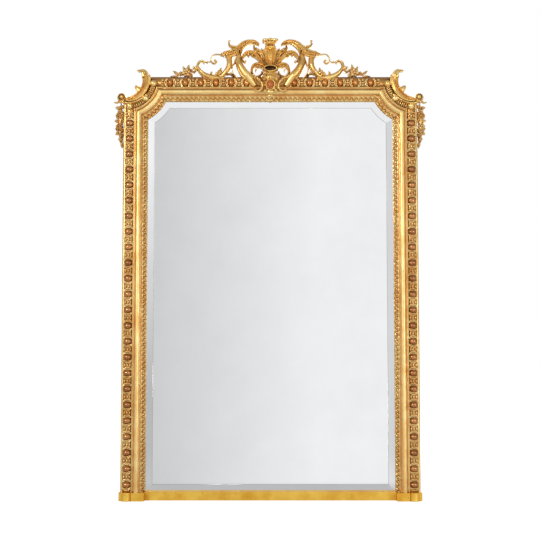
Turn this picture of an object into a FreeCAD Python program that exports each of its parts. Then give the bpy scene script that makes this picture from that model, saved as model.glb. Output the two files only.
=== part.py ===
import FreeCAD, Part
import math
import os

# Gilded overmantel mirror with scooped top corners and a pierced crest.
# Millimetres. +Z is up, +X is the viewer's right and the front faces -Y.
# The back of the frame lies in the plane Y = 0 and the foot in the plane Z = 0.
# A depth is the distance in front of the back plane.
# A reach is the distance outward from the sight edge, where the plate comes into view.

# Driving dimensions: the frame
frame_width = 1120.0
frame_height = 1600.0
moulding_width = 91.0
foot_height = 31.0
corner_inset = 10.0
corner_overrun = 12.0
corner_radius = 170.0

# The carcass and its rebates
carcass_depth = 45.0
plate_rebate_reach = 12.0
board_rebate_reach = 24.0
board_ledge_depth = 26.0

# The bevelled plate
plate_edge_reach = 8.0
plate_back_depth = 31.0
plate_edge_thickness = 3.0
bevel_width = 26.0
bevel_rise = 3.0

# The three mouldings: carved sight leaf, torus, and the ground of the egg and dart
sight_reach = 22.0
sight_lip_depth = 40.0
leaf_depth = 55.0
leaf_width = 14.0
groove_depth = 60.0
torus_reach = 47.0
torus_front_depth = 77.0
torus_fillet_width = 6.0
fillet_depth = 67.0
bead_width = 3.0
bead_depth = 64.0
ground_depth = 58.0
rounding_radius = 8.0

# Egg and dart
egg_pitch = 59.1
first_egg_height = 59.5
top_egg_pitch = 58.2
top_egg_start = 91.0
egg_end_margin = 18.0
egg_end_room = 2.5
egg_radius = 9.5
egg_base = 5.0
shell_half_width = 21.0
shell_floor = 3.0
shell_height = 8.0
shell_wall = 5.0
dart_end_room = 3.5
dart_half_width = 5.0
dart_height = 7.0

# Backing
board_thickness = 6.0
board_count = 5
board_gap = 0.5
board_clearance = 1.0
batten_thickness = 10.0
batten_height = 110.0
batten_drop = 340.0
batten_housing = 40.0
block_length = 70.0
block_count = 4
top_block_offset = 300.0
block_overlap = 20.0
pad_length = 80.0
pad_offset = 300.0

# Screws
screw_radius = 1.75
screw_head_radius = 3.6
screw_head_height = 2.2
board_screw_length = 16.0
batten_screw_length = 26.0
bracket_screw_length = 14.0
board_screw_shares = (0.2, 0.45, 0.7, 0.92)

# Hangers
hanger_offset = 330.0
hanger_thickness = 1.5
hanger_width = 24.0
hanger_length = 74.0
ring_wire_radius = 2.5
ring_running_gap = 0.3
knuckle_wall = 1.5
knuckle_length = 22.0
ring_half_width = 20.0
ring_corner_radius = 6.0
ring_straight = 12.0

# The foot
rail_front_depth = 50.0
block_front_depth = 80.0
block_bulge_depth = 86.0
block_groove_depth = 76.0
block_bead_depth = 72.0
block_overhang = 4.0

# Crest, corner mounts and garlands
crest_back_depth = 36.0
bracket_thickness = 3.0
bracket_width = 16.0
bracket_foot_inset = 6.0
cartouche_back_depth = 80.0
cartouche_front_depth = 96.0
cartouche_foot_half_width = 25.0
cartouche_foot_drop = 40.0
cartouche_neck_half_width = 22.0
cartouche_neck_height = 20.0
hub_half_width = 26.0
hub_height = 24.0
hub_front_depth = 86.0
cabochon_half_width = 14.0
cabochon_half_height = 16.5
cabochon_drop = 39.0
corner_scroll_radius = 79.0
rosette_radius = 17.0
garland_back_depth = 28.0
garland_front_depth = 66.0

Vector = FreeCAD.Vector
os.makedirs("parts", exist_ok=True)

# Worked out from the driving dimensions
sight_half_width = frame_width / 2 - moulding_width
sight_top = frame_height - moulding_width
corner_x = frame_width / 2 - corner_inset
corner_z = frame_height - corner_inset
corner_gap = moulding_width - corner_inset
plate_edge_depth = plate_back_depth + plate_edge_thickness
board_back_depth = board_ledge_depth - board_thickness
batten_back_depth = board_back_depth - batten_thickness
rounding_reach = moulding_width - rounding_radius
outer_edge_depth = ground_depth - rounding_radius
shell_half_length = (rounding_reach - torus_reach - bead_width) / 2
egg_half_length = shell_half_length - egg_end_room
dart_half_length = shell_half_length - dart_end_room
batten_middle_height = frame_height - batten_drop


def mirrored(shape):
    """The same piece on the other side of the plane X = 0."""
    return shape.mirror(Vector(0, 0, 0), Vector(1, 0, 0))


def box(x_range, depth_range, z_range):
    """A block from its low and high X, depth and Z."""
    size_x = x_range[1] - x_range[0]
    size_y = depth_range[1] - depth_range[0]
    size_z = z_range[1] - z_range[0]
    return Part.makeBox(size_x, size_y, size_z, Vector(x_range[0], -depth_range[1], z_range[0]))


def export(node, solids):
    """Write one node from a shape or a list of shapes."""
    shape = Part.makeCompound(solids) if isinstance(solids, list) else solids
    shape.exportStep("parts/" + node + ".step")


# ---------------------------------------------------------------- places along the frame

def on_stile(reach, depth):
    """A point of a section on the right stile, at the height Z = 0."""
    return Vector(sight_half_width + reach, -depth, 0)


def on_top(reach, depth):
    """A point of a section on the top rail, at X = 0."""
    return Vector(0, -depth, sight_top + reach)


def on_corner(reach, depth):
    """A point of a section on the scooped corner, straight below the scoop's centre."""
    return Vector(corner_x, -depth, corner_z - (corner_radius - reach))


def mitre_point(reach):
    """Where the stile's line at this reach meets the scoop's arc."""
    radius = corner_radius - reach
    side = corner_gap - reach
    return sight_half_width + reach, corner_z - math.sqrt(radius ** 2 - side ** 2)


def stile_side_of_mitre():
    """The space below the curved mitre, which divides the right stile from its corner."""
    low, middle, high = mitre_point(-2), mitre_point(moulding_width / 2), mitre_point(moulding_width + 4)
    outer = frame_width / 2 + 60
    points = [Vector(x, 0, z) for x, z in (low, middle, high)]
    corners = [points[2], Vector(outer, 0, high[1]), Vector(outer, 0, -60), Vector(low[0], 0, -60),
               points[0]]
    edges = [Part.Arc(*points).toShape()]
    for start, end in zip(corners, corners[1:]):
        edges.append(Part.LineSegment(start, end).toShape())
    face = Part.Face(Part.Wire(edges))
    return face.extrude(Vector(0, -140, 0)).fuse(face.extrude(Vector(0, 20, 0))).removeSplitter()


def across_the_diagonal(shape):
    """Mirror about the plane through the scoop's centre at 45 degrees, which swaps stile and top rail."""
    return shape.mirror(Vector(corner_x, 0, corner_z), Vector(1, 0, -1).normalize())


def section(place, start, moves):
    """Close a section: a move of one point is a line to it, a move of two is an arc through the first."""
    edges = []
    here = place(*start)
    for move in moves:
        there = place(*move[-1])
        if len(move) == 2:
            edges.append(Part.Arc(here, place(*move[0]), there).toShape())
        else:
            edges.append(Part.LineSegment(here, there).toShape())
        here = there
    edges.append(Part.LineSegment(here, place(*start)).toShape())
    return Part.Face(Part.Wire(edges))


below_mitre = stile_side_of_mitre()
beside_mitre = across_the_diagonal(below_mitre)


def frame_runs(start, moves, stile_foot):
    """Run one section round the frame: the stiles, the top rail and the scooped corners."""
    stile = section(on_stile, start, moves)
    stile.translate(Vector(0, 0, stile_foot))
    stile = stile.extrude(Vector(0, 0, frame_height - stile_foot)).common(below_mitre)
    top = section(on_top, start, moves)
    top.translate(Vector(-corner_x, 0, 0))
    top = top.extrude(Vector(2 * corner_x, 0, 0)).common(beside_mitre).common(mirrored(beside_mitre))
    corner = section(on_corner, start, moves)
    centre = Vector(corner_x, 0, corner_z)
    corner.rotate(centre, Vector(0, 1, 0), -corner_overrun)
    corner = corner.revolve(centre, Vector(0, 1, 0), 90 + 2 * corner_overrun)
    corner = corner.cut(below_mitre).cut(beside_mitre)
    return {"right": stile, "left": mirrored(stile), "top": top,
            "corner_right": corner, "corner_left": mirrored(corner)}


# ---------------------------------------------------------------- mouldings

sight_moulding = frame_runs((0, plate_edge_depth), [
    [(plate_rebate_reach, plate_edge_depth)],
    [(plate_rebate_reach, carcass_depth)],
    [(sight_reach, carcass_depth)],
    [(sight_reach, groove_depth)],
    [(leaf_width + 3.5, leaf_depth + 1.5), (leaf_width, leaf_depth)],
    [(leaf_width / 2, leaf_depth - 4), (0, sight_lip_depth)],
], foot_height)

torus_moulding = frame_runs((sight_reach, carcass_depth), [
    [(torus_reach, carcass_depth)],
    [(torus_reach, bead_depth)],
    [(torus_reach - torus_fillet_width, fillet_depth)],
    [((sight_reach + torus_reach - torus_fillet_width) / 2, torus_front_depth), (sight_reach, groove_depth)],
], foot_height)

rounding_middle = rounding_radius * math.sqrt(0.5)
outer_moulding = frame_runs((torus_reach, carcass_depth), [
    [(moulding_width, carcass_depth)],
    [(moulding_width, outer_edge_depth)],
    [(rounding_reach + rounding_middle, outer_edge_depth + rounding_middle), (rounding_reach, ground_depth)],
    [(torus_reach + bead_width, ground_depth)],
    [(torus_reach + bead_width, bead_depth)],
    [(torus_reach, bead_depth)],
], foot_height)

carcass = frame_runs((plate_rebate_reach, board_ledge_depth), [
    [(board_rebate_reach, board_ledge_depth)],
    [(board_rebate_reach, 0)],
    [(moulding_width, 0)],
    [(moulding_width, carcass_depth)],
    [(plate_rebate_reach, carcass_depth)],
], 0)


# ---------------------------------------------------------------- egg and dart

def ellipse_face(half_x, half_z, depth):
    """An oval lying at one depth."""
    long_axis = max(half_x, half_z)
    short_axis = min(half_x, half_z)
    along_x = half_x >= half_z
    tip = Vector(long_axis, -depth, 0) if along_x else Vector(0, -depth, long_axis)
    side = Vector(0, -depth, short_axis) if along_x else Vector(short_axis, -depth, 0)
    curve = Part.Ellipse(tip, side, Vector(0, -depth, 0))
    return Part.Face(Part.Wire(curve.toShape()))


def forward(height):
    """A way out of the frame's face."""
    return Vector(0, -height, 0)


def egg_dome(half_x, half_z, height, depth):
    """Half an egg, flat at the back: half a ball stretched along its axes."""
    ball = Part.makeSphere(half_x, Vector(0, 0, 0), Vector(0, -1, 0), 0, 90, 360)
    stretch = FreeCAD.Matrix()
    stretch.scale(1, height / half_x, half_z / half_x)
    dome = ball.transformGeometry(stretch)
    dome.translate(forward(depth))
    return dome


def egg_unit():
    """An egg in its shell, with its long axis along X, at X = 0 and Z = 0."""
    floor = ellipse_face(shell_half_length, shell_half_width, ground_depth).extrude(forward(shell_floor))
    rim = ellipse_face(shell_half_length, shell_half_width, ground_depth + shell_floor)
    rim = rim.extrude(forward(shell_height - shell_floor))
    hollow = ellipse_face(egg_half_length + 1, shell_half_width - shell_wall, ground_depth + shell_floor)
    rim = rim.cut(hollow.extrude(forward(shell_height)))
    base = ellipse_face(egg_half_length, egg_radius, ground_depth + shell_floor).extrude(forward(egg_base))
    dome = egg_dome(egg_half_length, egg_radius, egg_radius, ground_depth + shell_floor + egg_base)
    return floor.fuse([rim, base, dome])


def dart():
    """The dart between two shells: a lozenge with its long axis along X."""
    corners = [(-dart_half_length, 0), (0, dart_half_width), (dart_half_length, 0), (0, -dart_half_width)]
    outline = [Vector(x, -ground_depth, z) for x, z in corners]
    return Part.Face(Part.makePolygon(outline + outline[:1])).extrude(forward(dart_height))


def placed(shape, x, z, turn):
    """A copy of a unit, turned about its own middle and moved to its place."""
    copy = shape.copy()
    copy.rotate(Vector(0, 0, 0), Vector(0, 1, 0), turn)
    copy.translate(Vector(x, 0, z))
    return copy


egg = egg_unit()
lozenge = dart()
egg_reach = (torus_reach + bead_width + rounding_reach) / 2
band_top = mitre_point(egg_reach)[1] - shell_half_width - egg_end_margin
band_end = corner_x - (corner_z - mitre_point(egg_reach)[1]) - shell_half_width
egg_count = 1 + int((band_top - first_egg_height) / egg_pitch)
top_egg_count = 1 + int((band_end - top_egg_start) / top_egg_pitch)
stile_eggs = []
for index in range(egg_count):
    height = first_egg_height + index * egg_pitch
    stile_eggs.append(placed(egg, sight_half_width + egg_reach, height, 0))
    if index > 0:
        stile_eggs.append(placed(lozenge, sight_half_width + egg_reach, height - egg_pitch / 2, 0))

top_eggs = []
for side in (-1, 1):
    for index in range(top_egg_count):
        along = top_egg_start + index * top_egg_pitch
        top_eggs.append(placed(egg, side * along, sight_top + egg_reach, 90))
        top_eggs.append(placed(lozenge, side * (along + top_egg_pitch / 2), sight_top + egg_reach, 90))

corner_eggs = []
egg_circle = corner_radius - egg_reach
for angle in (8, 45, 82):
    turn = math.radians(angle)
    x = corner_x - egg_circle * math.sin(turn)
    z = corner_z - egg_circle * math.cos(turn)
    corner_eggs.append(placed(egg, x, z, angle + 90))
for angle in (26.5, 63.5):
    turn = math.radians(angle)
    x = corner_x - egg_circle * math.sin(turn)
    z = corner_z - egg_circle * math.cos(turn)
    corner_eggs.append(placed(lozenge, x, z, angle + 90))


# ---------------------------------------------------------------- foot of the frame

def plinth_block():
    """The right block: a flat, a convex bulge and a rounded outer bead, standing proud of the rail."""
    bulge_middle = (torus_reach + rounding_reach) / 2
    outer = moulding_width + block_overhang
    moves = [
        [(0, block_front_depth)],
        [(torus_reach, block_front_depth)],
        [(torus_reach + 2.5, block_groove_depth)],
        [(bulge_middle, block_bulge_depth), (rounding_reach, block_groove_depth)],
        [(rounding_reach + 3, block_bead_depth)],
        [(outer - 2.5, block_bead_depth - 1), (outer, block_bead_depth - 6)],
        [(outer, carcass_depth)],
    ]
    return section(on_stile, (0, carcass_depth), moves).extrude(Vector(0, 0, foot_height))


plinth = plinth_block()
rail_front = box((-sight_half_width, sight_half_width), (carcass_depth, rail_front_depth), (0, foot_height))
rail_tongue_half = sight_half_width + plate_rebate_reach
rail_tongue = box((-rail_tongue_half, rail_tongue_half), (plate_edge_depth, carcass_depth), (0, foot_height))
plinth_rail = rail_front.fuse(rail_tongue).removeSplitter()
rebate_top = foot_height - plate_rebate_reach
ledge_top = foot_height - board_rebate_reach
plate_step = box((-rail_tongue_half, rail_tongue_half), (board_ledge_depth, plate_edge_depth), (0, rebate_top))
board_half_width = sight_half_width + board_rebate_reach
board_step = box((-board_half_width, board_half_width), (0, board_ledge_depth), (0, ledge_top))
bottom_rail = plate_step.fuse(board_step).removeSplitter()


# ---------------------------------------------------------------- plate, boards and batten

def opening_wire(reach, depth):
    """The outline of the opening at one reach: straight sides, a flat foot and scooped top corners."""
    side_x, side_z = mitre_point(reach)
    top_z = sight_top + reach
    top_x = corner_x - (corner_z - side_z)
    diagonal = (corner_radius - reach) / math.sqrt(2)
    foot_z = foot_height - reach
    right = [Vector(side_x, -depth, foot_z), Vector(side_x, -depth, side_z),
             Vector(corner_x - diagonal, -depth, corner_z - diagonal), Vector(top_x, -depth, top_z)]
    left = [Vector(-point.x, point.y, point.z) for point in right]
    edges = [
        Part.LineSegment(right[0], right[1]).toShape(),
        Part.Arc(right[1], right[2], right[3]).toShape(),
        Part.LineSegment(right[3], left[3]).toShape(),
        Part.Arc(left[3], left[2], left[1]).toShape(),
        Part.LineSegment(left[1], left[0]).toShape(),
        Part.LineSegment(left[0], right[0]).toShape(),
    ]
    return Part.Wire(edges)


plate_edge = Part.Face(opening_wire(plate_edge_reach, plate_back_depth)).extrude(forward(plate_edge_thickness))
plate_field = Part.makeLoft([opening_wire(0, plate_edge_depth),
                             opening_wire(-bevel_width, plate_edge_depth + bevel_rise)], True, True)
mirror_plate = plate_edge.fuse(plate_field)

boards_all = Part.Face(opening_wire(board_rebate_reach - board_clearance, board_back_depth))
boards_all = boards_all.extrude(forward(board_thickness))
board_pitch = 2 * board_half_width / board_count
screws = []


def wood_screw(x, z, head_depth, length):
    """A countersunk screw driven from the back, its head flush at head_depth."""
    head_top = Vector(x, -head_depth, z)
    head = Part.makeCone(screw_head_radius, screw_radius, screw_head_height, head_top, Vector(0, -1, 0))
    shank = Part.makeCylinder(screw_radius, length, head_top, Vector(0, -1, 0))
    return head.fuse(shank).removeSplitter()


board_screw_reach = (plate_rebate_reach + board_rebate_reach) / 2 - 0.5
boards = []
for index in range(board_count):
    middle = (index + 0.5 - board_count / 2) * board_pitch
    low = middle - (board_pitch - board_gap) / 2
    strip = box((low, low + board_pitch - board_gap), (board_back_depth - 1, board_ledge_depth + 1),
                (0, frame_height))
    board = boards_all.common(strip)
    outermost = index in (0, board_count - 1)
    for x in (middle - board_pitch / 4, middle + board_pitch / 4):
        near_corner = abs(x) > corner_x - corner_radius
        if not near_corner:
            screws.append(wood_screw(x, sight_top + board_screw_reach, board_back_depth, board_screw_length))
        low_screw_height = foot_height - board_screw_reach
        screws.append(wood_screw(x, low_screw_height, board_back_depth, board_screw_length))
    if outermost:
        side = -1 if index == 0 else 1
        for height_share in board_screw_shares:
            screws.append(wood_screw(side * (sight_half_width + board_screw_reach), height_share * sight_top,
                                     board_back_depth, board_screw_length))
    boards.append(board)
board_screws = Part.makeCompound(screws)
boards = [board.cut(board_screws) for board in boards]

batten_half = board_half_width + batten_housing
batten_low = batten_middle_height - batten_height / 2
batten_high = batten_middle_height + batten_height / 2
batten = box((-batten_half, batten_half), (batten_back_depth, board_back_depth), (batten_low, batten_high))
housing = box((board_half_width - 1, batten_half), (-1, board_back_depth), (batten_low, batten_high))
batten_screws = []
for side in (-1, 1):
    for offset in (-0.3, 0.3):
        batten_screws.append(wood_screw(side * (board_half_width + batten_housing / 2),
                                        batten_middle_height + offset * batten_height,
                                        batten_back_depth, batten_screw_length))

setting_pads = [box((side * pad_offset - pad_length / 2, side * pad_offset + pad_length / 2),
                    (board_ledge_depth, plate_edge_depth), (rebate_top, foot_height - plate_edge_reach))
                for side in (-1, 1)]

glazing_blocks = []
block_inner = sight_half_width + plate_rebate_reach - block_overlap
block_outer = sight_half_width + plate_rebate_reach
block_run = mitre_point(plate_rebate_reach)[1] - foot_height
for side in (-1, 1):
    x_range = (block_inner, block_outer) if side > 0 else (-block_outer, -block_inner)
    for index in range(block_count):
        height = foot_height + block_run * (index + 0.5) / block_count - block_length / 2
        glazing_blocks.append(box(x_range, (board_ledge_depth, plate_back_depth),
                                  (height, height + block_length)))
plate_top = sight_top + plate_rebate_reach
for x in (-top_block_offset, 0, top_block_offset):
    glazing_blocks.append(box((x - block_length / 2, x + block_length / 2),
                              (board_ledge_depth, plate_back_depth),
                              (plate_top - block_overlap, plate_top)))


# ---------------------------------------------------------------- carved members

def spline(points):
    """A smooth edge through the points."""
    curve = Part.BSplineCurve()
    curve.interpolate(points)
    return curve.toShape()


def member(centre_line, back_depth, front_depth):
    """A tapering carved member. Its centre line is a list of (x, height above the frame, width)."""
    one_side = []
    other_side = []
    last = len(centre_line) - 1
    for index, (x, z, width) in enumerate(centre_line):
        before = centre_line[max(index - 1, 0)]
        after = centre_line[min(index + 1, last)]
        run_x = after[0] - before[0]
        run_z = after[1] - before[1]
        half = width / 2 / math.hypot(run_x, run_z)
        one_side.append(Vector(x - run_z * half, -back_depth, frame_height + z + run_x * half))
        other_side.append(Vector(x + run_z * half, -back_depth, frame_height + z - run_x * half))
    edges = [
        spline(one_side),
        Part.LineSegment(one_side[-1], other_side[-1]).toShape(),
        spline(other_side[::-1]),
        Part.LineSegment(other_side[0], one_side[0]).toShape(),
    ]
    return Part.Face(Part.Wire(edges)).extrude(forward(front_depth - back_depth))


def blossom(x, z, radius, back_depth, front_depth):
    """A rose or rosette: a shallow truncated cone."""
    base = Vector(x, -back_depth, frame_height + z)
    return Part.makeCone(radius, radius * 0.6, front_depth - back_depth, base, Vector(0, -1, 0))


def both_sides(shape):
    """The piece and its mirror image as one solid."""
    return shape.fuse(mirrored(shape)).removeSplitter()


# Crest, right half. Heights are above the top of the frame.
arm = [(60, -36, 25), (72, -19, 24), (86, -2, 23), (99, 14, 23), (111, 34, 23), (119, 53, 22), (122, 73, 20),
       (118, 92, 16), (119, 109, 13)]
over_arch = [(192, 94, 5), (174, 95, 22), (155, 96, 27), (135, 104, 27), (118, 119, 26), (103, 134, 23),
             (86, 143, 18), (67, 146, 15), (51, 141, 13), (40, 135, 6)]
hook = [(122, 121, 12), (135, 123, 11), (149, 126, 10), (157, 133, 9), (159, 141, 8), (156, 146, 6)]
neck = [(92, 13, 10), (76, 8, 10), (55, 0, 9), (39, 6, 8), (31, 18, 10), (34, 24, 6)]
stem = [(118, 88, 8), (133, 71, 8), (138, 55, 6), (144, 42, 7), (143, 20, 8), (135, 4, 8), (123, -8, 8),
        (110, -14, 9), (100, -9, 6)]
strap = [(158, 84, 22), (155, 63, 16), (157, 42, 15), (168, 23, 15), (183, 7, 16), (202, -2, 19)]
wing_scroll = [(185, 0, 11), (208, -1, 19), (231, 3, 23), (252, 10, 20), (267, 22, 16), (276, 36, 14),
               (277, 50, 12), (271, 62, 11), (261, 68, 9), (253, 65, 7), (251, 59, 5)]
wing_tip = [(200, 3, 18), (192, 20, 11), (188, 42, 3)]
tendril = [(189, 94, 4), (208, 95, 4), (219, 90, 4), (226, 80, 5), (226, 68, 6), (219, 60, 7), (210, 60, 8),
           (204, 66, 8), (206, 73, 7), (212, 73, 5)]
tendril_link = [(254, 66, 5), (240, 65, 6.5), (233, 68, 5.4), (225, 71, 4.6)]
cross_bar = [(153, 51, 6), (138, 53, 6)]
frill = [(185, 7, 8), (170, 11, 8), (154, 13, 8), (145, 7, 8), (143, -3, 8)]
plume = [(0, 40, 31), (0, 66, 33), (0, 92, 37), (0, 111, 46), (0, 127, 36), (0, 139, 42), (0, 154, 48)]
upright_leaf = [(14, 45, 13), (22, 67, 18), (35, 88, 23), (49, 104, 21), (58, 115, 13), (63, 124, 10),
                (61, 135, 4)]
arching_leaf = [(24, 45, 10), (37, 69, 18), (53, 86, 19), (70, 97, 18), (87, 98, 17), (100, 88, 14),
                (107, 75, 11), (104, 66, 8), (95, 63, 6)]
lower_leaf = [(21, 34, 12), (34, 45, 18), (49, 48, 20), (63, 44, 16), (70, 31, 12), (71, 18, 11), (64, 10, 8)]
shield = [(0, 20, 44), (0, 6, 84), (0, -8, 104), (0, -22, 74), (0, -40, 54), (0, -54, 60), (0, -64, 90),
          (0, -71, 54), (0, -78, 12)]

# What stands on or in front of the top rail keeps clear of it
rail_space = box((-corner_x, corner_x), (0, ground_depth), (sight_top, frame_height))
lower_rail_space = box((-corner_x, corner_x), (0, cartouche_back_depth),
                       (sight_top - 20, sight_top + torus_reach + bead_width))
egg_front_depth = ground_depth + shell_floor + egg_base + egg_radius
egg_space = box((top_egg_start - shell_half_width - 1, corner_x), (0, egg_front_depth + 1),
                (sight_top + torus_reach, sight_top + egg_reach + shell_half_length + 1))

cartouche = member(shield, cartouche_back_depth, cartouche_front_depth)
hub_base = frame_height + cartouche_neck_height
cartouche_foot = box((-cartouche_foot_half_width, cartouche_foot_half_width),
                     (ground_depth, cartouche_back_depth), (frame_height - cartouche_foot_drop, hub_base))
cartouche_top = box((-cartouche_neck_half_width, cartouche_neck_half_width),
                    (crest_back_depth, cartouche_back_depth), (frame_height, hub_base))
cartouche = cartouche.fuse([cartouche_foot, cartouche_top]).removeSplitter()
cabochon = egg_dome(cabochon_half_width, cabochon_half_height, cabochon_half_width, cartouche_front_depth)
cabochon.translate(Vector(0, 0, frame_height - cabochon_drop))

scroll = member(arm, crest_back_depth, 84).fuse([
    member(over_arch, crest_back_depth, 78),
    member(hook, crest_back_depth, 66),
    member(neck, crest_back_depth, 70),
    member(stem, crest_back_depth, ground_depth),
])
scroll = scroll.cut(rail_space.fuse([lower_rail_space, egg_space]))

hub = box((0, hub_half_width), (crest_back_depth, hub_front_depth), (hub_base, hub_base + hub_height))
palmette = member(plume, crest_back_depth, 84).fuse([
    both_sides(hub),
    both_sides(member(upright_leaf, crest_back_depth, 80)),
    both_sides(member(arching_leaf, crest_back_depth, 74)),
    both_sides(member(lower_leaf, crest_back_depth, 78)),
]).removeSplitter()
palmette = palmette.cut(scroll).cut(mirrored(scroll)).cut(cartouche)
scroll = scroll.cut(cartouche)

wing = member(wing_scroll, crest_back_depth, 70).fuse([
    member(strap, crest_back_depth, 66),
    member(wing_tip, crest_back_depth, 62),
    member(tendril, crest_back_depth, 58),
    member(tendril_link, crest_back_depth, 56),
    member(cross_bar, crest_back_depth, 56),
    member(frill, crest_back_depth, 60),
])
wing = wing.cut(scroll).cut(rail_space).cut(egg_space)

spray = blossom(332, 18, 17, crest_back_depth, 64).fuse([
    blossom(313, 20, 13, crest_back_depth, 60),
    blossom(326, 39, 10, crest_back_depth, 56),
    member([(374, 32, 4), (361, 21, 12), (344, 16, 9)], crest_back_depth, 50),
    member([(386, 0, 4), (370, 9, 12), (344, 13, 9)], crest_back_depth, 50),
    member([(362, 0, 5), (350, 6, 12), (338, 12, 9)], crest_back_depth, 52),
    member([(303, -4, 5), (307, 8, 10), (313, 18, 9)], crest_back_depth, 50),
    member([(314, 28, 7), (308, 40, 9), (297, 44, 9), (286, 42, 13), (276, 38, 9)], crest_back_depth, 54),
    member([(307, 12, 6), (290, 19, 7), (272, 26, 6)], crest_back_depth, 48),
])
spray = spray.cut(wing).cut(rail_space).cut(egg_space)


# ---------------------------------------------------------------- crest brackets

def bracket(x, leg_height):
    """An angle bracket on the top rail: its leg rises behind the crest."""
    half = bracket_width / 2
    leg = box((x - half, x + half), (crest_back_depth - bracket_thickness, crest_back_depth),
              (frame_height, frame_height + leg_height))
    foot = box((x - half, x + half), (bracket_foot_inset, crest_back_depth - bracket_thickness),
               (frame_height, frame_height + bracket_thickness))
    return leg.fuse(foot).removeSplitter()


def bracket_screw_pair(x, height):
    """One screw down into the rail and one forward into the crest."""
    down = wood_screw(0, 0, 0, bracket_screw_length)
    down.rotate(Vector(0, 0, 0), Vector(1, 0, 0), 90)
    down.translate(Vector(x, -crest_back_depth / 2, frame_height + bracket_thickness))
    leg_back_depth = crest_back_depth - bracket_thickness
    into_crest = wood_screw(x, frame_height + height, leg_back_depth, bracket_screw_length)
    return [down, into_crest]


# Each bracket's place along the rail, the height of its leg and of its screw, all behind the carving
bracket_plan = [(0, 90, 62), (98, 24, 15), (-98, 24, 15), (243, 15, 9), (-243, 15, 9)]
brackets = []
bracket_screws = []
for x, leg_height, screw_height in bracket_plan:
    brackets.append(bracket(x, leg_height))
    bracket_screws.extend(bracket_screw_pair(x, screw_height))
crest_screws = Part.makeCompound(bracket_screws)
brackets = [piece.cut(crest_screws) for piece in brackets]
palmette = palmette.cut(crest_screws)
scroll_right = scroll.cut(crest_screws)
wing_right = wing.cut(crest_screws)


# ---------------------------------------------------------------- corner mounts and garlands

def round_corner(angle, radius):
    """A place round the scoop's centre, as x and height above the frame. Angle 0 is straight down."""
    turn = math.radians(angle)
    return corner_x - radius * math.sin(turn), corner_z - radius * math.cos(turn) - frame_height


def from_corner(points):
    """Points given from the scoop's centre, as x and height above the frame."""
    return [(corner_x + x, corner_z - frame_height + z, width) for x, z, width in points]


def beside_frame(points):
    """Points given from the frame's outer top corner, as x and height above the frame."""
    return [(frame_width / 2 + x, z, width) for x, z, width in points]


corner_sweep = [(-4, 14), (16, 20), (36, 22), (58, 22), (80, 22), (96, 20)]
corner_arc = [(*round_corner(angle, corner_scroll_radius), width) for angle, width in corner_sweep]
top_curl = from_corner([(-79, 7, 20), (-77, 22, 17), (-66, 32, 14), (-53, 35, 11), (-41, 39, 6)])
standing_leaf = from_corner([(-46, -48, 14), (-40, -35, 11), (-37, -22, 5)])
lower_hook = from_corner([(22, -70, 12), (34, -80, 8), (47, -84, 4)])
rosette_x, rosette_z = round_corner(-15, 70)
corner_scroll = member(corner_arc, ground_depth, 80).fuse([
    member(top_curl, ground_depth, 76),
    member(standing_leaf, ground_depth, 72),
    member(lower_hook, ground_depth, 70),
    blossom(rosette_x, rosette_z, rosette_radius, ground_depth, 84),
])
corner_scroll = corner_scroll.cut(Part.makeCompound(corner_eggs))

garland_line = beside_frame([(11, -100, 8), (12, -113, 11), (13, -126, 34), (17, -142, 27), (16, -160, 31),
                             (15, -175, 22), (20, -190, 30), (17, -208, 20), (17, -222, 27), (6, -238, 24),
                             (5, -250, 14), (7, -265, 21), (5, -284, 6)])
garland = member(garland_line, garland_back_depth, garland_front_depth)
garland = garland.cut(box((0, frame_width / 2), (0, outer_edge_depth), (0, frame_height)))
garland = garland.cut(outer_moulding["right"]).cut(outer_moulding["corner_right"]).cut(corner_scroll)


# ---------------------------------------------------------------- hangers

knuckle_bore = ring_wire_radius + ring_running_gap
knuckle_radius = knuckle_bore + knuckle_wall
strap_back_depth = batten_back_depth - hanger_thickness
hinge_depth = strap_back_depth - ring_wire_radius - 0.9
hinge_height = batten_middle_height + hanger_length / 2


def strap_hanger(x):
    """A strap with its upper end rolled into a knuckle round the ring's bar."""
    plate = box((x - hanger_width / 2, x + hanger_width / 2), (strap_back_depth, batten_back_depth),
                (hinge_height - hanger_length, hinge_height))
    start = Vector(x - knuckle_length / 2, -hinge_depth, hinge_height)
    roll = Part.makeCylinder(knuckle_radius, knuckle_length, start, Vector(1, 0, 0))
    web = box((x - knuckle_length / 2, x + knuckle_length / 2), (hinge_depth, batten_back_depth),
              (hinge_height - 4, hinge_height + knuckle_radius))
    bore = Part.makeCylinder(knuckle_bore, knuckle_length, start, Vector(1, 0, 0))
    return plate.fuse([roll, web]).removeSplitter().cut(bore)


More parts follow.
